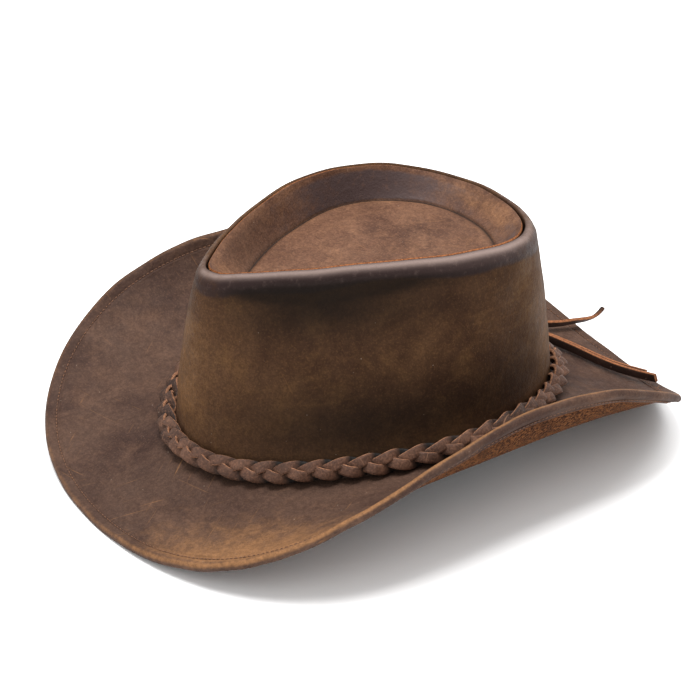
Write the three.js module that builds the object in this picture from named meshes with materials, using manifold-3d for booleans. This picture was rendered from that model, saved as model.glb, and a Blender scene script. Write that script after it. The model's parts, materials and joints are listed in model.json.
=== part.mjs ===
// A waxed leather cowboy hat with a pinched teardrop crown, a shaped brim and a braided lace hat band.
// Millimetres, +Z up, the hat's front towards -Y and the wearer's left towards +X.
// The origin is on the surface that the hat rests on, under the middle of the brim's length and width.

import * as THREE from 'three';
import { ParametricGeometry } from 'three/addons/geometries/ParametricGeometry.js';
import { mergeVertices } from 'three/addons/utils/BufferGeometryUtils.js';
import Module from 'manifold-3d';

// ---- Driving dimensions ----

const LEATHER = 1.8; // thickness of the hat's panels
const GAP = 0.3; // clearance between pieces that touch
const REST_HEIGHT = 20.45; // from the resting surface up to the plane where crown and brim meet at the front
const CENTRE_SHIFT = 1.2; // moves the brim's middle over the origin

// The crown's base: a head-shaped oval whose sides rise with the curl of the brim.
const BASE_HALF_WIDTH = 84;
const BASE_HALF_LENGTH = 105;
const BASE_FRONT_WIDENING = 0.09;
const BASE_CORNER_TRIM = 0.036;
const BASE_SIDE_RISE = 11.2;

// The crown's top edge: a teardrop, narrow at the front, with a wavy height.
const TOP_HALF_WIDTH = 64.8;
const TOP_HALF_LENGTH = 92.8;
const TOP_FORWARD = 3.9;
const TOP_PINCH = 0.605;
const TOP_SHARPNESS = 1.385;
const TOP_HEIGHT = 101.5;
const TOP_FRONT_RISE = 1.6;
const TOP_SIDE_RISE = 5.06;
const WALL_BULGE = 1.74;

// The rolled top edge of the crown's side, and the seam on its inner side.
const SEAM_INSET = 5.2;
const ROLL_DROP = 3;
const ROLL_RISE = 2.4;
const SEAM_DEPTH = 5;
const TIP_THREAD_DEPTH = 4; // below the crown's top edge

// The strip of leather glued inside the crown over its back joint, and its heights.
const STRIP_THICKNESS = 1.4;
const STRIP_RISES = [12, 35, 60, 84];
const STRIP_HALF_ANGLE = 0.1;
const STRIP_STEPS = 4;

// The sunken floor of the tip: a sharper teardrop.
const FLOOR_HALF_WIDTH = 54.9;
const FLOOR_HALF_LENGTH = 67.9;
const FLOOR_FORWARD = 2.06;
const FLOOR_PINCH = 0.67;
const FLOOR_SHARPNESS = 1.61;
const FLOOR_HEIGHT = 88.2;
const TIP_WALL_STEPS = [0, 0.12, 0.3, 0.55, 0.8, 1];

// The brim: its slope goes from a start angle at the crown to an edge angle at the rim, in degrees.
// Each list holds the coefficients of cos(0a), cos(1a), cos(2a)... round the hat.
const BRIM_START_SLOPE = [-12.5, -0.4, -10.46];
const BRIM_EDGE_SLOPE = [29.8, -8.64, -43.55, 9.52, 2.08];
const BRIM_WIDTH = [68.5, 1.48, -1.44, -0.3, -6.05];
const BRIM_CURVE = 0.792;
const BRIM_SLICES = 24;
const COLLAR_HEIGHT = 10;

// The brim's wired edge: the leather is turned under round a wire and sewn down.
const HEM_RADIUS = 2.5;
const HEM_HOLLOW = 1.25;
const HEM_AXIS_DEPTH = 2;
const HEM_WIDTH = 7.9;
const FLAP_THICKNESS = 1.6;
const FLAP_START = 4; // from the rim, where the flap leaves the round of the hem
const FLAP_SWELL = 0.4;
const COLLAR_START = 1; // along the brim, where its underside turns up into the collar
const STITCH_INSET = 6.2;
const WIRE_RADIUS = 0.6;
const WIRE_HALF_GAP = 0.01; // radians round the hat, between the wire's end and the back
const SLEEVE_INNER = 0.75;
const SLEEVE_OUTER = 1;
const THREAD_RADIUS = 0.35;

const SWEATBAND_THICKNESS = 1.2;
const SWEATBAND_DROP = 6;
const SWEATBAND_RISE = 34;
const SWEATBAND_STITCH_DROP = 2; // below the base line
const TAB_THICKNESS = 1;
const TAB_RISES = [3, 14, 26];
const TAB_HALF_ANGLE = 0.07;
const TAB_STEPS = 3;
const SLIT = 0.5; // width of the butt joints at the back

// The hat band: a flat braid of three laces, tied at the back, a little to the wearer's right.
const LACE_WIDTH = 4;
const LACE_THICKNESS = 1.2;
const BRAID_REPEATS = 16;
const BRAID_SWING = 4.2;
const BRAID_WEAVE = 2.8;
const BRAID_TILT = 0.3; // slope across a lace where it passes over one neighbour and under the other
const BRAID_HEIGHT = 8.8;
const BRAID_CLEARANCE = 0.9;
const BRAID_STEPS = 10; // steps in one repeat
const KNOT_ANGLE = THREE.MathUtils.degToRad(205);
const KNOT_HALF_ANGLE = 0.092;
const KNOT_SIZE = new THREE.Vector3(7, 3.6, 7.2); // half sizes along the band, outward and up
const TAIL_WIDTH = 4.7;
const TAIL_THICKNESS = 1.9;
const TAIL_CHAMFER = 0.4;
const TAIL_STEP = 6;

const TURN = Math.PI * 2;
const SMALL_ANGLE = 0.002; // radians to each side, for finding a direction along a line
const RING_STEPS = 60;
const RING_STEP = TURN / RING_STEPS;
const BACK = Math.PI; // the angle of the back joints

// ---- Colours ----

const leather = (color) => new THREE.MeshStandardMaterial({ color, roughness: 0.6, metalness: 0 });
const steel = new THREE.MeshStandardMaterial({ color: 0x8d9094, roughness: 0.35, metalness: 1 });
const thread = new THREE.MeshStandardMaterial({ color: 0x2e211a, roughness: 0.85, metalness: 0 });
const CROWN_BROWN = 0x4a3424;
const TIP_BROWN = 0x5d3b26;
const BRIM_BROWN = 0x4c372a;
const BAND_BROWN = 0x6b4330;
const LINING_BROWN = 0x8a5f3c;

// ---- Geometry helpers ----

// One closed, outward-facing triangle mesh without repeated points or collapsed faces.
function closedMesh(geometry) {
  const positions = new THREE.BufferGeometry();
  positions.setAttribute('position', geometry.getAttribute('position'));
  positions.setIndex(geometry.getIndex());
  const merged = mergeVertices(positions, 1e-3);
  const points = merged.getAttribute('position');
  const corners = merged.getIndex().array;
  const a = new THREE.Vector3();
  const b = new THREE.Vector3();
  const c = new THREE.Vector3();
  const kept = [];
  let volume = 0;
  for (let i = 0; i < corners.length; i += 3) {
    const [p, q, r] = corners.subarray(i, i + 3);
    if (p === q || q === r || r === p) continue;
    kept.push(p, q, r);
    a.fromBufferAttribute(points, p);
    b.fromBufferAttribute(points, q);
    c.fromBufferAttribute(points, r);
    volume += a.dot(b.cross(c));
  }
  merged.setIndex(volume < 0 ? kept.reverse() : kept);
  merged.computeVertexNormals();
  return merged;
}

// A closed section carried from one angle to another. A full turn joins itself, and anything less is capped.
function sweep(sectionAt, from = 0, to = TURN, steps = RING_STEPS) {
  const whole = to - from >= TURN;
  const stacks = whole ? steps : steps + 2;
  const surface = (around, along, target) => {
    const step = whole ? along * steps : THREE.MathUtils.clamp(along * stacks - 1, 0, steps);
    const loop = sectionAt(from + ((to - from) * step) / steps);
    if (!whole && (along === 0 || along === 1)) {
      target.set(0, 0, 0);
      loop.forEach((point) => target.addScaledVector(point, 1 / loop.length));
      return;
    }
    const place = around * loop.length;
    const corner = Math.floor(place);
    target.lerpVectors(loop[corner % loop.length], loop[(corner + 1) % loop.length], place - corner);
  };
  return closedMesh(new ParametricGeometry(surface, sectionAt(from).length, stacks));
}

const wasm = await Module();
wasm.setup();

function solid(geometry) {
  const mesh = new wasm.Mesh({
    numProp: 3,
    vertProperties: Float32Array.from(geometry.getAttribute('position').array),
    triVerts: Uint32Array.from(geometry.getIndex().array),
  });
  return new wasm.Manifold(mesh);
}

function cut(geometry, tool) {
  const result = solid(geometry).subtract(solid(closedMesh(tool))).getMesh();
  const left = new THREE.BufferGeometry();
  left.setAttribute('position', new THREE.Float32BufferAttribute(result.vertProperties, 3));
  left.setIndex(Array.from(result.triVerts));
  return closedMesh(left);
}

// Opens a ring at the back, where the ends of its strip of leather meet.
function cutBackJoint(geometry) {
  const tool = new THREE.BoxGeometry(SLIT, 2 * BASE_HALF_LENGTH, 3 * TOP_HEIGHT);
  tool.translate(0, BASE_HALF_LENGTH, TOP_HEIGHT / 2);
  return cut(geometry, tool);
}

const cosineSeries = (list, angle) =>
  list.reduce((sum, value, order) => sum + value * Math.cos(order * angle), 0);

// ---- The crown's shape. Angle 0 is the front and a quarter turn is the wearer's left. ----

const outwardAt = (angle) =>
  new THREE.Vector3(BASE_HALF_LENGTH * Math.sin(angle), -BASE_HALF_WIDTH * Math.cos(angle), 0).normalize();

function baseAt(angle) {
  const corner = 1 - BASE_CORNER_TRIM * Math.sin(2 * angle) ** 2;
  const x = BASE_HALF_WIDTH * Math.sin(angle) * (corner + BASE_FRONT_WIDENING * Math.cos(angle));
  const y = -BASE_HALF_LENGTH * Math.cos(angle) * corner;
  return new THREE.Vector3(x, y, BASE_SIDE_RISE * Math.sin(angle) ** 2);
}

const pinchedSine = (angle, pinch, sharpness) =>
  Math.sin(angle) * (1 - pinch * ((1 + Math.cos(angle)) / 2) ** sharpness);

function teardrop(angle, halfLength, halfWidth, forward, pinch, sharpness) {
  let widest = 0;
  for (let i = 0; i <= 90; i += 1) {
    widest = Math.max(widest, pinchedSine((Math.PI * i) / 90, pinch, sharpness));
  }
  const x = (halfWidth * pinchedSine(angle, pinch, sharpness)) / widest;
  return new THREE.Vector3(x, -forward - halfLength * Math.cos(angle), 0);
}

const topHeightAt = (angle) =>
  TOP_HEIGHT + TOP_FRONT_RISE * Math.cos(angle) - TOP_SIDE_RISE * Math.cos(2 * angle);

function topAt(angle, inset, rise) {
  const length = TOP_HALF_LENGTH - inset;
  const point = teardrop(angle, length, TOP_HALF_WIDTH - inset, TOP_FORWARD, TOP_PINCH, TOP_SHARPNESS);
  return point.setZ(topHeightAt(angle) + rise);
}

// A point of the crown's side, `rise` above the base line and `depth` inside the outer face.
function wallAt(angle, rise, depth) {
  const base = baseAt(angle);
  const share = rise / (topHeightAt(angle) - base.z);
  const height = base.z + rise;
  const outward = outwardAt(angle);
  const slope = Math.max(share, 0);
  const point = base.addScaledVector(outward, -depth).lerp(topAt(angle, depth, 0), slope);
  return point.addScaledVector(outward, WALL_BULGE * 4 * slope * (1 - slope)).setZ(height);
}

// ---- Crown pieces ----

const radians = THREE.MathUtils.degToRad;

function crownSideSection(angle) {
  const wallRise = topHeightAt(angle) - ROLL_DROP - baseAt(angle).z;
  const shares = [0, 0.2, 0.4, 0.6, 0.8, 1];
  const wall = (depth) => shares.map((share) => wallAt(angle, GAP + (wallRise - GAP) * share, depth));
  const roll = (thickness, degrees) => {
    const across = SEAM_INSET - thickness;
    const up = ROLL_DROP + ROLL_RISE - thickness;
    const inset = SEAM_INSET - across * Math.cos(radians(degrees));
    return topAt(angle, inset, up * Math.sin(radians(degrees)) - ROLL_DROP);
  };
  return [
    ...wall(0),
    ...[30, 60, 90].map((degrees) => roll(0, degrees)),
    topAt(angle, SEAM_INSET, -SEAM_DEPTH),
    topAt(angle, SEAM_INSET - LEATHER, -SEAM_DEPTH),
    ...[58, 28].map((degrees) => roll(LEATHER, degrees)),
    ...wall(LEATHER).reverse(),
  ];
}

function crownBackStripSection(angle) {
  const outer = LEATHER + GAP;
  return [
    ...STRIP_RISES.map((rise) => wallAt(angle, rise, outer)),
    ...STRIP_RISES.toReversed().map((rise) => wallAt(angle, rise, outer + STRIP_THICKNESS)),
  ];
}

// A point of the tip's upper face, from the seam (0) to the crease round the floor (1).
function tipAt(angle, share) {
  const inset = SEAM_INSET + GAP + LEATHER;
  const mix = (start, end) => start + (end - start) * share;
  const point = teardrop(
    angle,
    mix(TOP_HALF_LENGTH - inset, FLOOR_HALF_LENGTH),
    mix(TOP_HALF_WIDTH - inset, FLOOR_HALF_WIDTH),
    mix(TOP_FORWARD, FLOOR_FORWARD),
    mix(TOP_PINCH, FLOOR_PINCH),
    mix(TOP_SHARPNESS, FLOOR_SHARPNESS),
  );
  const fall = (share + share * share * (3 - 2 * share)) / 2;
  const seam = topHeightAt(angle) + ROLL_RISE;
  return point.setZ(seam + (FLOOR_HEIGHT - seam) * fall);
}

function tipSection(angle) {
  const upper = TIP_WALL_STEPS.map((share) => tipAt(angle, share));
  const inward = upper.at(-1).clone().sub(upper[0]).setZ(0).normalize();
  const lower = upper.map((point, i) => {
    const before = upper[Math.max(i - 1, 0)];
    const after = upper[i + 1] ?? point.clone().add(inward);
    const run = after.clone().sub(before);
    const slope = Math.atan2(run.z, run.dot(inward));
    const under = point.clone().addScaledVector(inward, LEATHER * Math.sin(slope));
    return under.setZ(point.z - LEATHER * Math.cos(slope));
  });
  const middle = new THREE.Vector3(0, -FLOOR_FORWARD, FLOOR_HEIGHT);
  const middleUnder = middle.clone().setZ(FLOOR_HEIGHT - LEATHER);
  const halfway = (edge, centre) => edge.clone().lerp(centre, 0.5).setZ(centre.z);
  lower.at(-1).setZ(FLOOR_HEIGHT - LEATHER);
  return [
    ...upper,
    halfway(upper.at(-1), middle),
    middle,
    middleUnder,
    halfway(lower.at(-1), middleUnder),
    ...lower.reverse(),
  ];
}

// A round section about a point of a ring, in the vertical plane across the ring.
function roundSection(centre, outward, radius, sides) {
  return Array.from({ length: sides }, (_, side) => {
    const turn = (TURN * side) / sides;
    const point = centre.clone().addScaledVector(outward, radius * Math.cos(turn));
    point.z += radius * Math.sin(turn);
    return point;
  });
}

const threadRing = (centreAt) =>
  sweep((angle) => roundSection(centreAt(angle), outwardAt(angle), THREAD_RADIUS, 4));

// ---- Brim pieces ----

// A point `out` along the brim from the crown and `lift` off its upper face.
function brimAt(angle, out, lift) {
  const start = cosineSeries(BRIM_START_SLOPE, angle);
  const edge = cosineSeries(BRIM_EDGE_SLOPE, angle);
  const width = cosineSeries(BRIM_WIDTH, angle);
  const slopeAt = (share) => radians(start + (edge - start) * Math.max(share, 0) ** BRIM_CURVE);
  let across = 0;
  let up = 0;
  for (let slice = 0; slice < BRIM_SLICES; slice += 1) {
    const slope = slopeAt(((slice + 0.5) / BRIM_SLICES) * (out / width));
    across += (Math.cos(slope) * out) / BRIM_SLICES;
    up += (Math.sin(slope) * out) / BRIM_SLICES;
  }
  const slope = slopeAt(out / width);
  across -= lift * Math.sin(slope);
  up += lift * Math.cos(slope);
  const point = baseAt(angle).addScaledVector(outwardAt(angle), across);
  return point.setZ(Math.max(point.z + up, -REST_HEIGHT));
}

const brimWidthAt = (angle) => cosineSeries(BRIM_WIDTH, angle);

// A point of the hem's round, by its distance from the wire's axis; a quarter turn points straight up.
function hemAt(angle, radius, degrees) {
  const out = brimWidthAt(angle) - HEM_RADIUS + radius * Math.cos(radians(degrees));
  return brimAt(angle, out, radius * Math.sin(radians(degrees)) - HEM_AXIS_DEPTH);
}

function brimSection(angle) {
  const width = brimWidthAt(angle);
  const sheet = [0.13, 0.3, 0.47, 0.64, 0.82].map((share) => share * (width - HEM_WIDTH));
  const collarOuter = LEATHER + GAP;
  const collarInner = 2 * LEATHER + GAP;
  const flapTop = -LEATHER - GAP;
  return [
    wallAt(angle, COLLAR_HEIGHT, collarOuter),
    wallAt(angle, 0, collarOuter),
    brimAt(angle, 0, 0),
    ...sheet.map((out) => brimAt(angle, out, 0)),
    brimAt(angle, width - HEM_WIDTH, 0),
    brimAt(angle, width - STITCH_INSET, 0),
    ...[100, 60, 25, -10, -50, -90].map((degrees) => hemAt(angle, HEM_RADIUS, degrees)),
    brimAt(angle, width - FLAP_START, flapTop - FLAP_THICKNESS - FLAP_SWELL),
    brimAt(angle, width - HEM_WIDTH, flapTop - FLAP_THICKNESS),
    brimAt(angle, width - HEM_WIDTH, flapTop),
    ...[-175, -120, -60, 0, 60, 120, 170].map((degrees) => hemAt(angle, HEM_HOLLOW, degrees)),
    brimAt(angle, width - HEM_WIDTH, -LEATHER),
    ...sheet.toReversed().map((out) => brimAt(angle, out, -LEATHER)),
    brimAt(angle, COLLAR_START, -LEATHER),
    wallAt(angle, 0, collarInner).setZ(baseAt(angle).z - LEATHER / 2),
    wallAt(angle, COLLAR_HEIGHT, collarInner),
  ];
}

const wireSection = (radius) => (angle) => roundSection(hemAt(angle, 0, 0), outwardAt(angle), radius, 8);

// A short tube that holds the wire's two ends together.
function wireSleeve() {
  const outside = sweep(wireSection(SLEEVE_OUTER), BACK - RING_STEP, BACK + RING_STEP, 2);
  const bore = sweep(wireSection(SLEEVE_INNER), BACK - 2 * RING_STEP, BACK + 2 * RING_STEP, 4);
  return cut(outside, bore);
}

// ---- Sweatband pieces ----

const SWEATBAND_DEPTH = 2 * LEATHER + 2 * GAP; // of its outer face inside the crown's

function sweatbandSection(angle) {
  const inner = SWEATBAND_DEPTH + SWEATBAND_THICKNESS;
  const rises = [-SWEATBAND_DROP, 0, COLLAR_HEIGHT, SWEATBAND_RISE];
  return [
    ...rises.map((rise) => wallAt(angle, rise, SWEATBAND_DEPTH)),
    ...rises.toReversed().map((rise) => wallAt(angle, rise, inner)),
  ];
}

function sweatbandTabSection(angle) {
  const outer = SWEATBAND_DEPTH + SWEATBAND_THICKNESS + GAP;
  return [
    ...TAB_RISES.map((rise) => wallAt(angle, rise, outer)),
    ...TAB_RISES.toReversed().map((rise) => wallAt(angle, rise, outer + TAB_THICKNESS)),
  ];
}

// ---- Hat band pieces ----

// The braid's own flat centre line: `up` above its middle and `out` from its mid-depth.
function bandAt(angle, up, out) {
  const depth = BRAID_CLEARANCE + BRAID_WEAVE + LACE_THICKNESS / 2;
  return wallAt(angle, BRAID_HEIGHT + up, -depth - out);
}

function strandSection(strand) {
  const phaseAt = (angle) => BRAID_REPEATS * angle + (TURN * strand) / 3;
  const centreAt = (angle) =>
    bandAt(angle, BRAID_SWING * Math.sin(phaseAt(angle)), BRAID_WEAVE * Math.sin(2 * phaseAt(angle)));
  return (angle) => {
    const centre = centreAt(angle);
    const ahead = centreAt(angle + SMALL_ANGLE);
    const along = ahead.sub(centreAt(angle - SMALL_ANGLE)).normalize();
    const level = outwardAt(angle).cross(along).normalize();
    const lean = along.clone().cross(level).multiplyScalar(BRAID_TILT * Math.cos(3 * phaseAt(angle)));
    const across = level.add(lean).normalize();
    const face = along.clone().cross(across);
    const corner = (side, skin) => {
      const edge = centre.clone().addScaledVector(across, (side * LACE_WIDTH) / 2);
      return edge.addScaledVector(face, (skin * LACE_THICKNESS) / 2);
    };
    return [corner(1, 1), corner(-1, 1), corner(-1, -1), corner(1, -1)];
  };
}

function knot() {
  const outward = outwardAt(KNOT_ANGLE);
  const up = new THREE.Vector3(0, 0, 1);
  const along = outward.clone().cross(up);
  const ball = new THREE.SphereGeometry(1, 14, 10);
  ball.scale(KNOT_SIZE.x, KNOT_SIZE.y, KNOT_SIZE.z);
  ball.applyMatrix4(new THREE.Matrix4().makeBasis(along, outward, up));
  const centre = wallAt(KNOT_ANGLE, BRAID_HEIGHT, -BRAID_CLEARANCE - KNOT_SIZE.y);
  ball.translate(centre.x, centre.y, centre.z);
  return closedMesh(ball);
}

// The loose ends of the three laces, standing on edge on the back of the brim.
const RIGHT_TAIL_ROUTE = [
  [-38.6, 101.2, 7.6], [-38.5, 105.5, 6.4], [-38.1, 110, 4], [-37.3, 115.5, 1], [-36.4, 121.5, -1.4],
  [-35.6, 127.5, -2.9], [-35, 133.5, -4.2], [-34.7, 139.5, -5.4], [-34.6, 145.5, -6.4], [-34.8, 151.5, -7.1],
  [-35.2, 157, -8], [-35.9, 162, -8.9], [-36.9, 167, -9.3], [-38, 171.4, -8.4], [-39, 175, -6.6],
];
const LONG_TAIL_ROUTE = [
  [-33.4, 103.4, 6.9], [-32.6, 107, 5], [-30.6, 111.6, 2.4], [-27.2, 117, -0.2], [-22, 122.4, -2.4],
  [-15.5, 127.4, -4.1], [-8, 131.8, -5.5], [0, 135.4, -6.6], [8, 138.5, -7.4], [16, 141.8, -8],
  [24, 145.3, -8.1], [32, 148.4, -7.5], [39, 150.8, -6.5], [45, 152.5, -5.4],
];
const SHORT_TAIL_ROUTE = [
  [-35.9, 102.6, 6.8], [-35.1, 107.6, 4.9], [-32.9, 113, 2.1], [-29.2, 118.6, -0.6], [-23.6, 124.3, -3],
  [-16.8, 129.4, -4.7], [-9, 134, -6.1], [-0.9, 137.7, -7.2], [7.1, 140.8, -8], [15.1, 144.1, -8.6],
  [23.1, 147.6, -8.5], [30.5, 150.5, -7.9], [36, 152.3, -7.2],
];

function tail(route) {
  const path = new THREE.CatmullRomCurve3(route.map((point) => new THREE.Vector3(...point)));
  const steps = Math.round(path.getLength() / TAIL_STEP);
  const frame = path.computeFrenetFrames(steps, false);
  const tilt = Math.atan2(frame.binormals[0].z, frame.normals[0].z);
  const halfWidth = TAIL_WIDTH / 2;
  const halfThickness = TAIL_THICKNESS / 2;
  const corners = [
    [halfWidth, TAIL_CHAMFER - halfThickness], [halfWidth, halfThickness - TAIL_CHAMFER],
    [halfWidth - TAIL_CHAMFER, halfThickness], [TAIL_CHAMFER - halfWidth, halfThickness],
    [-halfWidth, halfThickness - TAIL_CHAMFER], [-halfWidth, TAIL_CHAMFER - halfThickness],
    [TAIL_CHAMFER - halfWidth, -halfThickness], [halfWidth - TAIL_CHAMFER, -halfThickness],
  ];
  const turned = corners.map(([x, y]) => new THREE.Vector2(x, y).rotateAround(new THREE.Vector2(), tilt));
  const strap = new THREE.ExtrudeGeometry(new THREE.Shape(turned), { steps, extrudePath: path });
  return closedMesh(toIndexed(strap));
}

function toIndexed(geometry) {
  geometry.setIndex(Array.from({ length: geometry.getAttribute('position').count }, (_, i) => i));
  return geometry;
}

// ---- The assembly ----

function addPiece(group, name, geometry, material) {
  const mesh = new THREE.Mesh(geometry, material);
  mesh.name = name;
  group.add(mesh);
}

const body = new THREE.Group();
addPiece(body, 'crown_side_panel', cutBackJoint(sweep(crownSideSection)), leather(CROWN_BROWN));
const backStrip = sweep(
  crownBackStripSection,
  BACK - STRIP_HALF_ANGLE,
  BACK + STRIP_HALF_ANGLE,
  STRIP_STEPS,
);
addPiece(body, 'crown_back_seam_strip', backStrip, leather(CROWN_BROWN));
addPiece(body, 'crown_tip_panel', sweep(tipSection), leather(TIP_BROWN));
const tipThread = threadRing((angle) => topAt(angle, SEAM_INSET / 2, -TIP_THREAD_DEPTH));
addPiece(body, 'crown_tip_thread', tipThread, thread);
addPiece(body, 'brim_panel', sweep(brimSection), leather(BRIM_BROWN));
const wire = sweep(wireSection(WIRE_RADIUS), BACK + WIRE_HALF_GAP, BACK + TURN - WIRE_HALF_GAP);
addPiece(body, 'brim_wire', wire, steel);
addPiece(body, 'brim_wire_sleeve', wireSleeve(), steel);
const hemStitchAt = (angle) => brimAt(angle, brimWidthAt(angle) - STITCH_INSET, THREAD_RADIUS + GAP);
addPiece(body, 'brim_hem_thread', threadRing(hemStitchAt), thread);
addPiece(body, 'sweatband', cutBackJoint(sweep(sweatbandSection)), leather(LINING_BROWN));
const joinTab = sweep(sweatbandTabSection, BACK - TAB_HALF_ANGLE, BACK + TAB_HALF_ANGLE, TAB_STEPS);
addPiece(body, 'sweatband_join_tab', joinTab, leather(LINING_BROWN));
const sweatbandStitchDepth = SWEATBAND_DEPTH + SWEATBAND_THICKNESS + GAP + THREAD_RADIUS;
const sweatbandStitchAt = (angle) => wallAt(angle, -SWEATBAND_STITCH_DROP, sweatbandStitchDepth);
addPiece(body, 'sweatband_thread', threadRing(sweatbandStitchAt), thread);

const band = new THREE.Group();
for (let strand = 0; strand < 3; strand += 1) {
  const strip = sweep(
    strandSection(strand),
    KNOT_ANGLE + KNOT_HALF_ANGLE,
    KNOT_ANGLE + TURN - KNOT_HALF_ANGLE,
    BRAID_REPEATS * BRAID_STEPS,
  );
  addPiece(band, `braid_strand_${strand + 1}`, strip, leather(BAND_BROWN));
}
addPiece(band, 'braid_knot', knot(), leather(BAND_BROWN));
addPiece(band, 'right_tail_lace', tail(RIGHT_TAIL_ROUTE), leather(BAND_BROWN));
addPiece(band, 'long_tail_lace', tail(LONG_TAIL_ROUTE), leather(BAND_BROWN));
addPiece(band, 'short_tail_lace', tail(SHORT_TAIL_ROUTE), leather(BAND_BROWN));

const hat = new THREE.Group();
hat.add(body, band);
hat.position.set(0, CENTRE_SHIFT, REST_HEIGHT);

export default hat;
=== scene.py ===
"""The looks of a waxed leather cowboy hat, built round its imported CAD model.

Metres, with the front of the hat towards -Y and the wearer's left towards +X."""
import json
import math

import bpy
import numpy as np
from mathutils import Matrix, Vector


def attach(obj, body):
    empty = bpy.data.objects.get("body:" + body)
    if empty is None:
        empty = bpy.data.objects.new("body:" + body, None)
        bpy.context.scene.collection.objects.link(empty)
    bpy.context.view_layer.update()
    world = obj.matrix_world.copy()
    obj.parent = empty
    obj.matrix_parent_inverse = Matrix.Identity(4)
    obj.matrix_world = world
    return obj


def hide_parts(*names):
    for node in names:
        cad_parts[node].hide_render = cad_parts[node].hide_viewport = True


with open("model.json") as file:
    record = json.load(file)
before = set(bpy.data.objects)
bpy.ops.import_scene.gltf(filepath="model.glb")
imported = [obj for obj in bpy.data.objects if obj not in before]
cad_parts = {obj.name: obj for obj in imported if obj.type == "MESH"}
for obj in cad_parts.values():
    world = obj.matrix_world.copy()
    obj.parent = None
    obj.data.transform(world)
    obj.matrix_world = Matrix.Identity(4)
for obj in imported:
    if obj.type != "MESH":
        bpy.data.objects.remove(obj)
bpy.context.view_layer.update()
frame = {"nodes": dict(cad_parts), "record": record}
MOUNTS = {mount["name"]: mount for mount in frame["record"]["mounts"]}
# Under the crown's middle, at the height of its base: every shape below is worked out from here.
CROWN_ORIGIN = np.array(MOUNTS["head_opening"]["pos_m"])

MM = 0.001
TURN = 2 * math.pi

# ---- The hat's driving dimensions, as in the CAD ----

LEATHER = 1.8 * MM
GAP = 0.3 * MM  # clearance between pieces that touch
BASE_HALF_WIDTH = 84 * MM
BASE_HALF_LENGTH = 105 * MM
BASE_FRONT_WIDENING = 0.09
BASE_CORNER_TRIM = 0.036
BASE_SIDE_RISE = 11.2 * MM
TOP_HALF_WIDTH = 64.8 * MM
TOP_HALF_LENGTH = 92.8 * MM
TOP_FORWARD = 3.9 * MM
TOP_PINCH = 0.605
TOP_SHARPNESS = 1.385
TOP_HEIGHT = 101.5 * MM
TOP_FRONT_RISE = 1.6 * MM
TOP_SIDE_RISE = 5.06 * MM
WALL_BULGE = 1.74 * MM
SEAM_INSET = 5.2 * MM
ROLL_DROP = 3 * MM
ROLL_RISE = 2.4 * MM
SEAM_DEPTH = 5 * MM
FLOOR_HALF_WIDTH = 54.9 * MM
FLOOR_HALF_LENGTH = 67.9 * MM
FLOOR_FORWARD = 2.06 * MM
FLOOR_PINCH = 0.67
FLOOR_SHARPNESS = 1.61
FLOOR_HEIGHT = 88.2 * MM
BRIM_START_SLOPE = (-12.5, -0.4, -10.46)  # degrees, for cos 0, cos 1, cos 2 of the angle
BRIM_EDGE_SLOPE = (29.8, -8.64, -43.55, 9.52, 2.08)
BRIM_WIDTH = (68.5 * MM, 1.48 * MM, -1.44 * MM, -0.3 * MM, -6.05 * MM)
BRIM_CURVE = 0.792
COLLAR_HEIGHT = 10 * MM
HEM_RADIUS = 2.5 * MM
HEM_HOLLOW = 1.25 * MM
HEM_AXIS_DEPTH = 2 * MM
HEM_WIDTH = 7.9 * MM
FLAP_THICKNESS = 1.6 * MM
FLAP_START = 4 * MM  # from the rim, where the flap leaves the round of the hem
FLAP_LOW = -LEATHER - GAP - FLAP_THICKNESS  # the flap's lower face, from the brim's upper face
STITCH_INSET = 6.2 * MM
SWEATBAND_DEPTH = 2 * LEATHER + 2 * GAP
SWEATBAND_THICKNESS = 1.2 * MM
BRAID_REPEATS = 16
KNOT_ANGLE = math.radians(205)
BACK = math.pi  # the angle of the butt joints
SLOPE_STEPS = 32  # steps over which the brim's slope is added up

# ---- Camera ----

VIEW_AZIMUTH = math.radians(60.2)
VIEW_ELEVATION = math.radians(28.15)
VIEW_DISTANCE = 1.581
LENS_MM = 156.7
SENSOR_MM = 36
AIM = np.array([-0.0045, -0.0079, 0.0313])  # from the crown's origin


def aim(obj, at):
    """Turns a camera or light so that it looks from its place at a point."""
    obj.rotation_euler = (Vector(at) - obj.location).to_track_quat("-Z", "Y").to_euler()


def add_camera():
    data = bpy.data.cameras.new("camera")
    camera = bpy.data.objects.new("camera", data)
    bpy.context.scene.collection.objects.link(camera)
    data.lens = LENS_MM
    data.sensor_width = SENSOR_MM
    data.clip_end = 20
    level = math.cos(VIEW_ELEVATION)
    towards = (math.sin(VIEW_AZIMUTH) * level, -math.cos(VIEW_AZIMUTH) * level, math.sin(VIEW_ELEVATION))
    target = CROWN_ORIGIN + AIM
    camera.location = Vector(target + np.array(towards) * VIEW_DISTANCE)
    aim(camera, target)
    bpy.context.scene.camera = camera


add_camera()

# ---- Shapes: every function takes an array of angles (0 front, a quarter turn the wearer's left) ----


def unit(vectors):
    return vectors / np.linalg.norm(vectors, axis=-1, keepdims=True)


def series(coefficients, angle):
    return sum(c * np.cos(k * angle) for k, c in enumerate(coefficients))


def outward_at(angle):
    return unit(np.stack([BASE_HALF_LENGTH * np.sin(angle), -BASE_HALF_WIDTH * np.cos(angle), 0 * angle], -1))


def base_at(angle):
    corner = 1 - BASE_CORNER_TRIM * np.sin(2 * angle) ** 2
    x = BASE_HALF_WIDTH * np.sin(angle) * (corner + BASE_FRONT_WIDENING * np.cos(angle))
    return np.stack([x, -BASE_HALF_LENGTH * np.cos(angle) * corner, BASE_SIDE_RISE * np.sin(angle) ** 2], -1)


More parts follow.
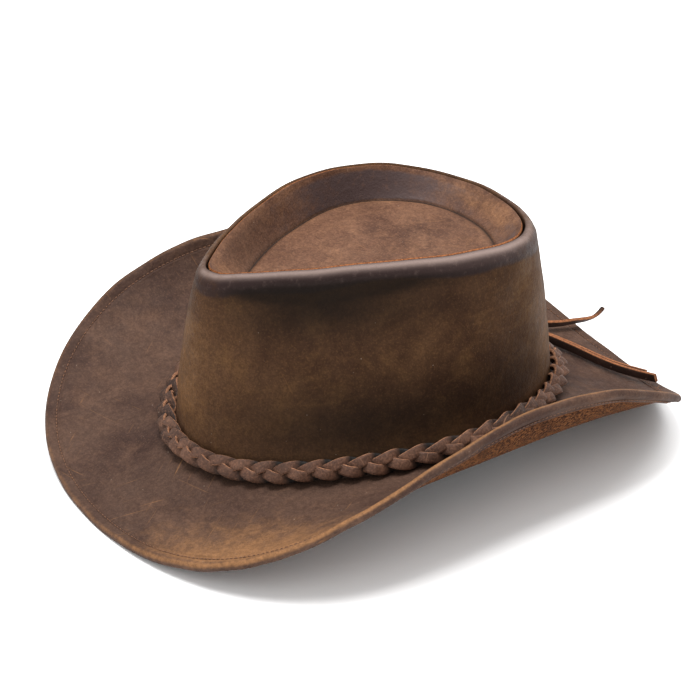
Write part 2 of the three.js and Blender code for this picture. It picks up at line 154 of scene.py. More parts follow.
def teardrop(angle, half_length, half_width, forward, pinch, sharpness, height):
    def pinched(a):
        return np.sin(a) * (1 - pinch * ((1 + np.cos(a)) / 2) ** sharpness)

    widest = pinched(np.linspace(0, math.pi, 181)).max()
    x = half_width * pinched(angle) / widest
    return np.stack([x, -forward - half_length * np.cos(angle), height + 0 * angle], -1)


def top_height(angle):
    return TOP_HEIGHT + TOP_FRONT_RISE * np.cos(angle) - TOP_SIDE_RISE * np.cos(2 * angle)


def top_at(angle, inset, rise):
    return teardrop(
        angle, TOP_HALF_LENGTH - inset, TOP_HALF_WIDTH - inset, TOP_FORWARD, TOP_PINCH, TOP_SHARPNESS,
        top_height(angle) + rise,
    )


def wall_at(angle, rise, depth):
    """A point of the crown's side, rise above the base line and depth inside the outer face."""
    base = base_at(angle)
    height = base[..., 2] + rise
    share = np.maximum(rise / (top_height(angle) - base[..., 2]), 0)[..., None]
    out = outward_at(angle)
    inwards = out * np.asarray(depth, float)[..., None]
    point = (base - inwards) * (1 - share) + top_at(angle, depth, 0) * share
    point = point + out * WALL_BULGE * 4 * share * (1 - share)
    point[..., 2] = height
    return point


def tip_at(angle, share, inset):
    """A point of the tip's upper face, from the seam (0) to the crease round the floor (1)."""
    def mix(start, end):
        return start + (end - start) * share

    fall = (share + share * share * (3 - 2 * share)) / 2
    seam = top_height(angle) + ROLL_RISE
    return teardrop(
        angle,
        mix(TOP_HALF_LENGTH - inset, FLOOR_HALF_LENGTH),
        mix(TOP_HALF_WIDTH - inset, FLOOR_HALF_WIDTH),
        mix(TOP_FORWARD, FLOOR_FORWARD),
        mix(TOP_PINCH, FLOOR_PINCH),
        mix(TOP_SHARPNESS, FLOOR_SHARPNESS),
        seam + (FLOOR_HEIGHT - seam) * fall,
    )


def brim_width(angle):
    return series(BRIM_WIDTH, angle)


def brim_at(angle, out, lift):
    """A point out along the brim from the crown, and lift off its upper face."""
    out = np.broadcast_to(np.asarray(out, float), angle.shape)
    start, edge = series(BRIM_START_SLOPE, angle), series(BRIM_EDGE_SLOPE, angle)
    share = np.maximum(out / brim_width(angle), 0)
    steps = (np.arange(SLOPE_STEPS) + 0.5) / SLOPE_STEPS
    bend = (share[..., None] * steps) ** BRIM_CURVE
    slope = np.radians(start[..., None] + (edge - start)[..., None] * bend)
    across = np.cos(slope).mean(-1) * out
    up = np.sin(slope).mean(-1) * out
    end = np.radians(start + (edge - start) * share**BRIM_CURVE)
    point = base_at(angle) + outward_at(angle) * (across - lift * np.sin(end))[..., None]
    point[..., 2] = np.maximum(point[..., 2] + up + lift * np.cos(end), -CROWN_ORIGIN[2])
    return point


def hem_at(angle, radius, degrees):
    """A point on the round of the hem: 90 degrees is on its top, 0 at the rim."""
    turn = math.radians(degrees)
    out = brim_width(angle) - HEM_RADIUS + radius * math.cos(turn)
    return brim_at(angle, out, radius * math.sin(turn) - HEM_AXIS_DEPTH)


def ripple(points, size, seed, waves=7):
    """Smooth, repeatable unevenness between about -1 and 1, with bumps of about that size."""
    rng = np.random.default_rng(seed)
    directions = unit(rng.normal(size=(waves, 3)))
    lengths = size * rng.uniform(0.7, 1.8, waves)
    phases = rng.uniform(0, TURN, waves)
    return np.sin(points @ (directions / lengths[:, None] * TURN).T + phases).sum(-1) / math.sqrt(waves)


# ---- Meshes ----


def add_mesh(name, points, faces, material, values=None):
    """A mesh object from points about the crown's origin; values are named numbers per point."""
    mesh = bpy.data.meshes.new(name)
    mesh.from_pydata((np.asarray(points).reshape(-1, 3) + CROWN_ORIGIN).tolist(), [], faces)
    mesh.polygons.foreach_set("use_smooth", [True] * len(mesh.polygons))
    for key, value in (values or {}).items():
        layer = mesh.attributes.new(key, "FLOAT", "POINT")
        layer.data.foreach_set("value", np.asarray(value, np.float32).ravel())
    mesh.materials.append(material)
    mesh.validate()
    mesh.update()
    obj = bpy.data.objects.new(name, mesh)
    bpy.context.scene.collection.objects.link(obj)
    return obj


def grid_faces(rows, columns, wrap_rows, wrap_columns):
    faces = []
    for i in range(rows if wrap_rows else rows - 1):
        n = (i + 1) % rows
        for j in range(columns if wrap_columns else columns - 1):
            m = (j + 1) % columns
            faces.append((i * columns + j, i * columns + m, n * columns + m, n * columns + j))
    return faces


# ---- Materials: noise in object coordinates, and masks carried by the meshes ----


class Look:
    """A node material, built up in layers of colour, roughness and height."""

    def __init__(self, name):
        self.material = bpy.data.materials.new(name)
        self.material.use_nodes = True
        self.tree = self.material.node_tree
        self.tree.nodes.clear()
        self.shader = self.node("ShaderNodeBsdfPrincipled")
        output = self.node("ShaderNodeOutputMaterial")
        self.join(self.shader.outputs["BSDF"], output.inputs["Surface"])
        self.place = self.node("ShaderNodeTexCoord").outputs["Object"]
        self.normal = None

    def node(self, kind, **settings):
        made = self.tree.nodes.new(kind)
        for key, value in settings.items():
            setattr(made, key, value)
        return made

    def join(self, source, target):
        """Feeds a socket from another socket, a number or a colour."""
        if isinstance(source, bpy.types.NodeSocket):
            self.tree.links.new(source, target)
        elif isinstance(source, tuple) and len(source) == 3 and target.type == "RGBA":
            target.default_value = (*source, 1)
        else:
            target.default_value = source

    def mask(self, name):
        return self.node("ShaderNodeAttribute", attribute_name=name).outputs["Fac"]

    def stretched(self, lengths, turn=(0, 0, 0)):
        """Object coordinates that draw a pattern out by those factors along its axes, then turn it."""
        mapping = self.node("ShaderNodeMapping", vector_type="TEXTURE")
        self.join(self.place, mapping.inputs["Vector"])
        mapping.inputs["Rotation"].default_value = turn
        mapping.inputs["Scale"].default_value = lengths
        return mapping.outputs["Vector"]

    def noise(self, size, detail=3, roughness=0.5, place=None, bend=0):
        """Noise about 0.5, in lumps of about that size in metres."""
        made = self.node("ShaderNodeTexNoise")
        self.join(place or self.place, made.inputs["Vector"])
        made.inputs["Scale"].default_value = 1 / size
        made.inputs["Detail"].default_value = detail
        made.inputs["Roughness"].default_value = roughness
        made.inputs["Distortion"].default_value = bend
        return made.outputs["Fac"]

    def cells(self, size, feature="F1"):
        """Distance from the middle of cells of about that size in metres."""
        made = self.node("ShaderNodeTexVoronoi", feature=feature)
        self.join(self.place, made.inputs["Vector"])
        made.inputs["Scale"].default_value = 1 / size
        return made.outputs["Distance"]

    def span(self, source, low, high, start=0.0, end=1.0):
        """start where the source is at low or under, end where it's at high or over, smooth between."""
        made = self.node("ShaderNodeMapRange", interpolation_type="SMOOTHSTEP")
        ends = {"From Min": low, "From Max": high, "To Min": start, "To Max": end}
        for key, value in ({"Value": source} | ends).items():
            self.join(value, made.inputs[key])
        return made.outputs["Result"]

    def maths(self, operation, a, b):
        made = self.node("ShaderNodeMath", operation=operation)
        self.join(a, made.inputs[0])
        self.join(b, made.inputs[1])
        return made.outputs["Value"]

    def times(self, a, b):
        return self.maths("MULTIPLY", a, b)

    def between(self, factor, a, b, data_type, ending):
        made = self.node("ShaderNodeMix", data_type=data_type)
        sockets = {socket.identifier: socket for socket in made.inputs}
        self.join(factor, sockets["Factor_Float"])
        self.join(a, sockets[f"A_{ending}"])
        self.join(b, sockets[f"B_{ending}"])
        return next(socket for socket in made.outputs if socket.identifier == f"Result_{ending}")

    def mix(self, factor, a, b):
        """A colour between a and b."""
        return self.between(factor, a, b, "RGBA", "Color")

    def blend(self, factor, a, b):
        """A number between a and b."""
        return self.between(factor, a, b, "FLOAT", "Float")

    def bump(self, height, depth):
        """Raises the surface by depth, in metres, times the height."""
        made = self.node("ShaderNodeBump")
        self.join(height, made.inputs["Height"])
        made.inputs["Distance"].default_value = depth
        if self.normal is not None:
            self.join(self.normal, made.inputs["Normal"])
        self.normal = made.outputs["Normal"]

    def finish(self, colour, roughness, **uniform):
        """The material; uniform sets shader sockets, with an underscore for each space in their names."""
        self.join(colour, self.shader.inputs["Base Color"])
        self.join(roughness, self.shader.inputs["Roughness"])
        if self.normal is not None:
            self.join(self.normal, self.shader.inputs["Normal"])
        for key, value in uniform.items():
            self.join(value, self.shader.inputs[key.replace("_", " ")])
        return self.material


def tone(red, green, blue):
    """A colour from its usual 0 to 255 values."""
    return tuple(((c / 255 + 0.055) / 1.055) ** 2.4 if c > 10 else c / 3295 for c in (red, green, blue))


SCRATCH_TURNS = (0.35, 1.25, 2.3)  # radians about the upright axis
WAX = (0.006, 0.003, 0.002)
# The colour of painted shade, mixed in by each mesh's dark mask.
PAINTED_SHADE = (0.006, 0.004, 0.003)
SPECK = (0.34, 0.26, 0.20)


def grain(look, dark, middle, light, rub_colour, scratched):
    """The dyed face of pull-up leather: clouds, rubbed places, scratches and pale specks.

    Returns (colour, roughness)."""
    clouds = look.noise(0.055, 6, 0.62, bend=0.6)
    colour = look.mix(look.span(clouds, 0.34, 0.60), dark, middle)
    patches = look.noise(0.024, 6, 0.62, bend=0.4)
    colour = look.mix(look.span(patches, 0.46, 0.78, 0, 0.7), colour, light)
    rub = look.mask("rub")
    wander = look.maths("SUBTRACT", look.noise(0.011, 7, 0.72, bend=0.5), 0.5)
    colour = look.mix(look.span(look.maths("ADD", rub, wander), 0.18, 0.95, 0, 0.9), colour, rub_colour)
    # Level smears left by handling.
    smears = look.noise(0.006, 4, 0.6, look.stretched((7, 7, 1), (0.16, -0.2, 0)), 0.3)
    colour = look.mix(look.span(smears, 0.54, 0.74, 0, 0.30), colour, light)
    mottle = look.noise(0.0026, 5, 0.75)
    colour = look.mix(look.span(mottle, 0.36, 0.68, 0.34, 0), colour, WAX)
    # Pores, dark and pale, at the size of the grain.
    pores = look.noise(0.0010, 3, 0.6)
    colour = look.mix(look.span(pores, 0.34, 0.50, 0.38, 0), colour, dark)
    colour = look.mix(look.span(pores, 0.52, 0.68, 0, 0.30), colour, light)
    # Fine scratches in three directions, in worn places.
    lines = 0.0
    for number, turn in enumerate(SCRATCH_TURNS):
        fibres = look.noise(0.0013, 2, 0.5, look.stretched((26, 1, 26), (0.1, 0.2, turn)), 0.25)
        here = look.span(look.noise(0.030 + 0.007 * number, 4, 0.6, bend=0.5), 0.46, 0.64)
        lines = look.maths("MAXIMUM", lines, look.times(look.span(fibres, 0.66, 0.76), here))
    colour = look.mix(look.times(lines, scratched), colour, rub_colour)
    specks = look.span(look.cells(0.0052), 0.035, 0.065, 1, 0)
    specks = look.times(specks, look.span(look.noise(0.013, 4, 0.7), 0.46, 0.60))
    colour = look.mix(look.times(specks, 0.75), colour, SPECK)
    gloss = look.span(look.noise(0.014, 5, 0.6), 0.3, 0.7, 0.55, 0.74)
    roughness = look.maths("ADD", gloss, look.times(lines, 0.1))
    # Height: pebbled grain, soft creases and the scratches.
    look.bump(look.cells(0.0011, "SMOOTH_F1"), 0.00010)
    look.bump(look.noise(0.0042, 6, 0.66), 0.00050)
    look.bump(lines, -0.00010)
    return colour, roughness


def flesh_side(look, dark, light):
    """The rough suede back of the leather. Returns (colour, roughness, height)."""
    nap = look.noise(0.0015, 4, 0.75, bend=0.3)
    colour = look.mix(look.span(nap, 0.42, 0.58), dark, light)
    stains = look.noise(0.014, 5, 0.7, bend=0.8)
    colour = look.mix(look.span(stains, 0.48, 0.70, 0, 0.6), colour, dark)
    return colour, 0.95, nap


def raw_edge(look, dark, light):
    """The cut edge of the leather: its colour."""
    fibres = look.noise(0.0012, 4, 0.7)
    return look.mix(look.span(fibres, 0.3, 0.7), dark, light)


RAW = (tone(98, 56, 32), tone(158, 100, 60))
SUEDE = (tone(32, 16, 9), tone(110, 68, 38))


def hat_leather(name, face, flesh=SUEDE, edge=RAW, burnish=None, scratched=0.5, **uniform):
    """Leather with grain on its face, suede where the mesh's flesh mask is 1, cut edge where raw is 1 and
    painted shade where its dark mask says.

    face is (dark, middle, light, rubbed); burnish, where there is any, is (dark, middle, lip colour), the
    last being the worn lip of the roll with a painted highlight."""
    look = Look(name)
    colour, roughness = grain(look, *face, scratched)
    if burnish:
        shade = look.mask("burnish")
        wander = look.times(look.maths("SUBTRACT", look.noise(0.007, 5, 0.7), 0.5), 0.7)
        soft = look.span(look.maths("ADD", shade, wander), 0.22, 0.80)
        worn = look.span(look.noise(0.004, 5, 0.7), 0.52, 0.72, 0, 0.5)
        burnish_and_highlight = look.mix(worn, burnish[0], burnish[1])
        # The lip of the crown's roll: worn paler, with a painted highlight on it.
        burnish_and_highlight = look.mix(look.times(look.mask("lip_wear_and_highlight"), 0.8), burnish_and_highlight, burnish[2])
        colour = look.mix(soft, colour, burnish_and_highlight)
        polish = look.span(look.noise(0.006, 5, 0.7), 0.3, 0.7, 0.34, 0.55)
        roughness = look.blend(soft, roughness, polish)
    back, back_roughness, nap = flesh_side(look, *flesh)
    under = look.mask("flesh")
    colour = look.mix(under, colour, back)
    roughness = look.blend(under, roughness, back_roughness)
    raw = look.mask("raw")
    colour = look.mix(raw, colour, raw_edge(look, *edge))
    roughness = look.blend(raw, roughness, 0.85)
    look.bump(look.times(nap, look.maths("MAXIMUM", under, raw)), 0.0009)
    # Painted shade, as much as the mesh's dark mask asks for.
    colour = look.mix(look.mask("dark"), colour, PAINTED_SHADE)
    return look.finish(colour, roughness, **uniform)


def plain_thread(name, dark, light):
    look = Look(name)
    twist = look.node("ShaderNodeTexWave", wave_type="BANDS", bands_direction="DIAGONAL")
    look.join(look.place, twist.inputs["Vector"])
    twist.inputs["Scale"].default_value = 900
    twist.inputs["Distortion"].default_value = 1.5
    fuzz = look.noise(0.0008, 4, 0.7)
    colour = look.mix(look.span(fuzz, 0.3, 0.7), dark, light)
    look.bump(look.maths("ADD", twist.outputs["Fac"], fuzz), 0.00012)
    return look.finish(colour, look.span(fuzz, 0.3, 0.7, 0.55, 0.8), Specular_IOR_Level=0.3)


def drawn_steel(name):
    look = Look(name)
    lines = look.noise(0.0009, 4, 0.6, look.stretched((1, 1, 6)))
    rust = look.span(look.noise(0.004, 5, 0.7), 0.55, 0.75)
    colour = look.mix(rust, (0.42, 0.42, 0.43), (0.16, 0.10, 0.07))
    look.join(look.span(rust, 0, 1, 1, 0.3), look.shader.inputs["Metallic"])
    look.bump(lines, 0.00005)
    return look.finish(colour, look.span(lines, 0.3, 0.7, 0.28, 0.5))


LACE_SUEDE = (tone(58, 34, 24), tone(104, 68, 48))
CROWN_LEATHER = hat_leather(
    "crown_leather",
    face=(tone(62, 41, 28), tone(84, 59, 40), tone(108, 78, 49), tone(118, 84, 53)),
    burnish=(tone(46, 34, 33), tone(91, 75, 70), tone(136, 118, 111)),
    scratched=0.3,
    Specular_IOR_Level=0.05,
)
TIP_LEATHER = hat_leather(
    "tip_leather",
    face=(tone(72, 47, 36), tone(103, 72, 55), tone(135, 98, 74), tone(150, 107, 74)),
    burnish=(tone(76, 62, 60), tone(104, 78, 66), tone(120, 98, 86)),
    Specular_IOR_Level=0.12,
)
BRIM_LEATHER = hat_leather(
    "brim_leather",
    face=(tone(60, 43, 37), tone(80, 60, 50), tone(102, 76, 61), tone(140, 100, 66)),
    Specular_IOR_Level=0.08,
)
LINING_LEATHER = hat_leather(
    "lining_leather",
    face=(tone(52, 26, 20), tone(74, 38, 28), tone(92, 50, 36), tone(116, 70, 50)),
    Specular_IOR_Level=0.35,
)
LACE_LEATHER = hat_leather(
    "lace_leather",
    face=(tone(46, 29, 21), tone(88, 60, 46), tone(136, 97, 75), tone(172, 128, 99)),
    flesh=LACE_SUEDE,
    edge=(tone(112, 72, 50), tone(182, 132, 100)),
    Specular_IOR_Level=0.25,
)
# The loose ends' faces are darker than the plait's laces: a darker dye, and painted shade.
DARK_AND_SHADED_TAIL_LEATHER = hat_leather(
    "tail_leather_dark_and_shaded",
    face=(tone(40, 25, 19), tone(56, 36, 28), tone(78, 52, 40), tone(104, 72, 54)),
    flesh=LACE_SUEDE,
    edge=(tone(104, 60, 36), tone(160, 102, 62)),
    Specular_IOR_Level=0.3,
)
THREAD = plain_thread("waxed_thread", tone(70, 46, 34), tone(128, 90, 66))
STEEL = drawn_steel("drawn_steel")

# ---- Pieces ----


def around(count, start=0.0, end=TURN, closed=True):
    """Evenly spaced angles; a closed line leaves the last one out."""
    return np.linspace(start, end, count, endpoint=not closed)


def bell(value, middle, width):
    return np.exp(-(((value - middle) / width) ** 2))


def angle_gap(angle, middle):
    return (angle - middle + math.pi) % TURN - math.pi


def turned_to(angle, degrees, width):
    """1 at that many degrees round from the hat's front, fading over a width in radians."""
    return bell(angle_gap(angle, math.radians(degrees)), 0, width)


def facing_out(points, faces):
    """The faces, all turned over if they enclose their volume the wrong way round."""
    quads = np.array([face for face in faces if len(face) == 4])
    a, b, c, d = (points[quads[:, k]] for k in range(4))
    volume = (a * (np.cross(b, c) + np.cross(c, d))).sum()
    return [face[::-1] for face in faces] if volume < 0 else faces


def shell(name, top, under, material, values, closed):
    """A leather sheet with its own thickness: grids of points for its two faces, joined at the rims.

    Each grid is (rows, columns, 3). values maps a mask to its numbers for (top, under)."""
    points = np.concatenate([top, under[::-1]])
    rows, columns = points.shape[:2]
    faces = grid_faces(rows, columns, True, closed)
    if not closed:
        for i in range(len(top) - 1):
            low, high = i * columns, (i + 1) * columns
            low_back, high_back = (rows - 1 - i) * columns, (rows - 2 - i) * columns
            last = columns - 1
            faces.append((low, high, high_back, low_back))
            faces.append((low + last, low_back + last, high_back + last, high + last))
    flat = points.reshape(-1, 3)
    masks = {
        key: np.concatenate([np.broadcast_to(a, top.shape[:2]), np.broadcast_to(b, under.shape[:2])[::-1]])
        for key, (a, b) in values.items()
    }
    return add_mesh(name, flat, facing_out(flat, faces), material, masks)


def dress(obj, body, slot, *nodes):
    """obj rides on the body and stands for the CAD nodes; the slot is not used."""
    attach(obj, body)
    if nodes:
        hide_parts(*nodes)


# -- Crown side: one strip of leather, joined edge to edge at the back --

ROUND_COLUMNS = 560
JOINT_GAP = 0.25 * MM / TOP_HALF_LENGTH


def seam_wave(angle):
    """How far the crown's top edge wanders up and down, as hand-turned leather does."""
    return (0.25 * np.sin(4 * angle + 0.9) + 0.22 * np.sin(9 * angle + 2.1) + 0.12 * np.sin(17 * angle)) * MM


def crown_side_wear(angle, share):
    """Masks of the crown's side; share is 0 at its base, 1 to 1.1 over the roll, and more inside the seam."""
    below_roll = (1.06 - share) * TOP_HEIGHT
    edge = 12 * MM + 1.6 * MM * np.sin(3 * angle + 0.6) + 1.0 * MM * np.sin(8 * angle)
    burnish = np.clip((edge - below_roll) / (3.5 * MM), 0, 1) * (0.30 + 0.70 * turned_to(angle, 75, 1.25))
    # A painted highlight along the worn lip of the roll, spreading further down the roll on the wearer's left
    # towards the back.
    lip_wear_and_highlight = bell(share, 1.07, 0.026) + 0.1 * turned_to(angle, 118, 0.5) * bell(share, 1.03, 0.05)
    # Two upright corners of the crown are rubbed pale, the front one also standing in for the light it
    # catches; the side between them gets painted shade.
    corners = 0.85 * turned_to(angle, -8, 0.42) + 0.85 * turned_to(angle, 147, 0.24)
    rub = corners * np.clip(1.25 - share, 0.1, 1) * np.clip(share * 3, 0.3, 1)
    near_side_shade = 0.15 + 0.85 * turned_to(angle, 60, 0.62)
    # Painted shade: in the pinch under the roll, just above the base and, more weakly, all over the side that
    # faces the camera; less on the corners and on the burnished roll, and deep inside the seam.
    under_roll = 0.88 * bell(share, 0.97, 0.05) + 0.62 * bell(share, 0.86, 0.14)
    low = (0.25 + 0.75 * turned_to(angle, 72, 0.80)) * bell(share, 0.25, 0.20)
    dark = (under_roll * near_side_shade + 0.56 * low) * (1 - np.clip(1.3 * corners, 0, 0.9))
    dark = dark + 0.25 * (0.25 + 0.75 * turned_to(angle, 55, 0.70))
    dark = np.minimum(dark, 0.93) * (1 - 0.75 * burnish * np.clip((share - 0.98) * 20, 0, 1))
    dark = np.maximum(dark, np.clip((share - 1.12) * 12, 0, 0.92))
    # Pale creases: three that run back along the side; and two soft bowed pale arcs in front of them, painted
    # highlights along shallow dents.
    back_turn = angle_gap(angle, math.radians(116))
    for start, slope in ((0.67, -0.06), (0.60, -0.16), (0.74, 0.02)):
        rub = rub + 0.5 * bell(share - start - slope * back_turn, 0, 0.013) * bell(back_turn, 0, 0.34)
    side_turn = angle_gap(angle, math.radians(58))
    for start, bow in ((0.60, 0.16), (0.72, 0.10)):
        rub = rub + 0.26 * bell(share - start - bow * side_turn**2, 0, 0.035) * bell(side_turn, 0, 0.55)
    return {"burnish": (burnish, 0), "lip_wear_and_highlight": (lip_wear_and_highlight, 0), "rub": (rub, 0), "dark": (dark, 0), "flesh": (0, 1)}


def crown_side():
    angle = around(ROUND_COLUMNS, BACK + JOINT_GAP, BACK + TURN - JOINT_GAP, False)
    wall_rise = top_height(angle) - ROLL_DROP - base_at(angle)[:, 2]
    outer, inner, share = [], [], []
    for step in np.linspace(0, 1, 64):
        rise = GAP + (wall_rise - GAP) * step
        outer.append(wall_at(angle, rise, 0.0))
        inner.append(wall_at(angle, rise, LEATHER))
        share.append(step)
    for turn in np.radians(np.linspace(9, 90, 10)):
        for skin_rows, skin in ((outer, 0.0), (inner, LEATHER)):
            inset = SEAM_INSET - (SEAM_INSET - skin) * math.cos(turn)
            rise = (ROLL_DROP + ROLL_RISE - skin) * math.sin(turn) - ROLL_DROP
            skin_rows.append(top_at(angle, inset, rise))
        share.append(1 + turn / math.pi * 0.2)
    inner_rise = ROLL_RISE - LEATHER
    for drop in np.linspace(0.25, 1, 4):
        outer.append(top_at(angle, SEAM_INSET, ROLL_RISE - (ROLL_RISE + SEAM_DEPTH) * drop))
        pressed = SEAM_INSET - LEATHER * drop**0.3
        inner.append(top_at(angle, pressed, inner_rise - (inner_rise + SEAM_DEPTH) * drop))
        share.append(1.1 + 0.1 * drop)
    outer, inner, share = np.array(outer), np.array(inner), np.array(share)[:, None]
    # Hand-blocked leather is never quite fair: soft waves, fading out at the seam and the base.
    fade = np.clip(share * 6, 0, 1) * np.clip((1.02 - share) * 5, 0, 1)
    wave = (0.55 * ripple(outer, 0.085, 3) + 0.22 * ripple(outer, 0.030, 4)) * MM * fade
    lift = seam_wave(angle) * np.clip((share - 0.86) * 8, 0, 1)
    for skin_points in (outer, inner):
        skin_points += outward_at(angle) * wave[..., None]
        skin_points[..., 2] += lift
    return shell("crown_side", outer, inner, CROWN_LEATHER, crown_side_wear(angle, share), False)


dress(crown_side(), "hat", "crown_leather", "crown_side_panel")


def strip(name, low, high, half_angle, depth, thickness):
    """A patch of thin leather inside the crown, over the back joint."""
    angle = around(40, BACK - half_angle, BACK + half_angle, False)
    rises = np.linspace(low, high, 40)
    outer = np.array([wall_at(angle, rise, depth) for rise in rises])
    inner = np.array([wall_at(angle, rise, depth + thickness) for rise in rises])
    return shell(name, outer, inner, LINING_LEATHER, {"flesh": (1, 0)}, False)


BACK_STRIP_HALF_ANGLE = 9 * MM / TOP_HALF_LENGTH
back_strip = strip(
    "crown_back_strip", COLLAR_HEIGHT + 2 * MM, 84 * MM, BACK_STRIP_HALF_ANGLE, LEATHER + GAP, 1.4 * MM
)
dress(back_strip, "hat", "crown_leather", "crown_back_seam_strip")

# -- Tip: the teardrop panel, with a wall down to a sunken floor --


def tip_wear(angle, share):
    """Masks of the tip; share is 0 at the seam, 1 at the crease round the floor and 2 at its middle."""
    raw = (share < -0.01) * 1.0
    flank = turned_to(angle, 243, 0.72) + turned_to(angle, 117, 0.72)
    wall = np.clip(share * 5 - 0.3, 0, 1) * np.clip((1.03 - share) * 9, 0, 1)
    front_right = turned_to(angle, 318, 0.45) * wall
    rub = 0.62 * bell(share, 0.40, 0.45) * (1 - 0.8 * flank) + 0.22 * (share > 1.05)
    pale_line = 0.55 * bell(share, 1.05, 0.014) * np.clip(0.3 + 0.7 * flank, 0, 1)
    # Painted shade in the crease round the floor and along the seam; the front right of the wall is darker as
    # well.
    crease = 0.80 * bell(share, 1.0, 0.020) + 0.20 * bell(share, 0.95, 0.06)
    seam = 0.25 * bell(share, 0.0, 0.03) * (share > 0)
    return {
        "burnish": (wall * (0.15 + 0.72 * flank), 0),
        "rub": (rub * (1 - 0.9 * front_right) + pale_line, 0),
        "dark": (crease + seam + 0.30 * front_right, 0),
        "raw": (raw, raw),
        "flesh": (0, 1 - raw),
    }


def tip():
    angle = around(ROUND_COLUMNS)
    share = list(np.linspace(0, 1, 34))
    rows = [tip_at(angle, step, SEAM_INSET + GAP + LEATHER) for step in share]
    crease = rows[-1]
    middle = np.array([0, -FLOOR_FORWARD, FLOOR_HEIGHT])
    for scale in np.linspace(1, 0.004, 44)[1:]:
        row = middle + (crease - middle) * scale
        row[:, 2] += 1.1 * MM * (1 - scale**6)
        rows.append(row)
        share.append(2 - scale)
    upper = np.array(rows)
    share = np.array(share)[:, None]
    # The crease round the floor is pressed in, with a faint ridge inside it.
    upper[..., 2] -= 0.9 * MM * bell(share, 1.0, 0.030) - 0.35 * MM * bell(share, 1.07, 0.04)
    upper[..., 2] += seam_wave(angle) * np.clip(1 - 2.2 * share, 0, 1)
    fade = np.clip(share * 4, 0, 1) * np.clip((2 - share) * 4, 0.0, 1)
    upper[..., 2] += (0.40 * ripple(upper, 0.045, 11) + 0.12 * ripple(upper, 0.016, 12)) * MM * fade
    along = np.roll(upper, -1, 1) - np.roll(upper, 1, 1)
    normal = unit(np.cross(along, np.gradient(upper, axis=0)))
    normal *= np.sign(normal[..., 2:].mean())
    under = upper - normal * LEATHER
    # The panel's own cut edge faces up beside the crown's roll.
    upper_edge = upper[0] * 0.70 + under[0] * 0.30 + np.array([0, 0, 0.25 * MM])
    under_edge = upper[0] * 0.30 + under[0] * 0.70 + np.array([0, 0, 0.20 * MM])
    upper = np.concatenate([upper_edge[None], upper])
    under = np.concatenate([under_edge[None], under])
    share = np.concatenate([[[-0.02]], share])
    return shell("crown_tip", upper, under, TIP_LEATHER, tip_wear(angle, share), True)


dress(tip(), "hat", "tip_leather", "crown_tip_panel")

# -- Brim: a sheet that turns over a wire at the rim and is stitched down --


def brim_wear(angle, top_out, under_out):
    """Masks of the brim; out is under 0 on the collar, 1 at the hem, 2 at the rim and 3 to 4 on the flap."""
    front = 0.95 * turned_to(angle, 38, 0.42) * bell(top_out, 1.25, 0.75)
    side = 0.7 * turned_to(angle, 95, 0.5) * bell(top_out, 1.6, 0.5)
    rim = (0.4 + 0.6 * turned_to(angle, 85, 1.0)) * bell(top_out, 2.10, 0.10)
    stitch = bell(top_out, 1 + (HEM_WIDTH - STITCH_INSET) / HEM_WIDTH, 0.06)
    # Painted shade at the foot of the crown, on the collar under it and along the stitch groove.
    dark = 0.5 * bell(top_out, 0, 0.10) + 0.22 * stitch + 0.5 * (top_out < 0)
    return {
        "rub": (front + side + rim, 0),
        "dark": (dark, 0),
        "flesh": (0, 1),
        "raw": ((top_out > 3.97) * 1.0, (under_out == 3) * 1.0),
    }


def brim():
    angle = around(900)
    width = brim_width(angle)
    collar = LEATHER + GAP
    top = [wall_at(angle, rise, collar) for rise in (COLLAR_HEIGHT, COLLAR_HEIGHT / 2, 1.5 * MM)]
    under = [wall_at(angle, rise, collar + LEATHER) for rise in (COLLAR_HEIGHT, COLLAR_HEIGHT / 2, 0)]
    top_out, under_out = [-1] * 3, [-1] * 3
    for share in np.linspace(0, 1, 54):
        out = (width - HEM_WIDTH) * share
        top.append(brim_at(angle, out, 0))
        top_out.append(share)
        under.append(brim_at(angle, np.maximum(out, 1 * MM), -LEATHER))
        under_out.append(share)
    for back in np.linspace(HEM_WIDTH, HEM_RADIUS + 0.9 * MM, 22)[1:]:
        groove = 0.32 * MM * bell(back, STITCH_INSET, 0.8 * MM)
        swell = 0.45 * MM * np.clip((STITCH_INSET - back) / (3.4 * MM), 0, 1) ** 2
        top.append(brim_at(angle, width - back, swell - groove))
        top_out.append(1 + (HEM_WIDTH - back) / HEM_WIDTH)
    for turn in np.linspace(84, -88, 24):
        top.append(hem_at(angle, HEM_RADIUS, turn))
        top_out.append(2 + (84 - turn) / 400)
    for back in np.linspace(FLAP_START, HEM_WIDTH, 14):
        pressed = 0.55 * MM * bell(back, STITCH_INSET, 1.0 * MM)
        swell = 0.3 * MM * np.clip((STITCH_INSET - back) / (3 * MM), 0, 1)
        top.append(brim_at(angle, width - back, FLAP_LOW - swell + pressed))
        top_out.append(3 + (back - FLAP_START) / (HEM_WIDTH - FLAP_START))
    for turn in (-160, -110, -60, -10, 40, 90, 140):
        under.append(hem_at(angle, HEM_HOLLOW, -turn))
        under_out.append(2)
    for back in (6 * MM, HEM_WIDTH):
        under.append(brim_at(angle, width - back, -LEATHER - GAP))
        under_out.append(3)
    top, under = np.array(top), np.array(under)
    top_out, under_out = np.array(top_out)[:, None], np.array(under_out)[:, None]
    # A hand-turned rim wanders a little, and the sheet has shallow waves.
    wander = 0.28 * ripple(brim_at(angle, width, 0), 0.030, 21) * MM
    waves = 0.35 * ripple(top, 0.055, 22) * MM
    top[..., 2] += wander * np.clip(top_out - 1, 0, 1) + waves * np.clip(top_out * 3, 0, 1) * (top_out <= 1)
    under[..., 2] += wander * np.clip(under_out - 1, 0, 1)
    top[..., 2] = np.maximum(top[..., 2], -CROWN_ORIGIN[2])
    return shell("brim", top, under, BRIM_LEATHER, brim_wear(angle, top_out, under_out), True)


dress(brim(), "hat", "brim_leather", "brim_panel")

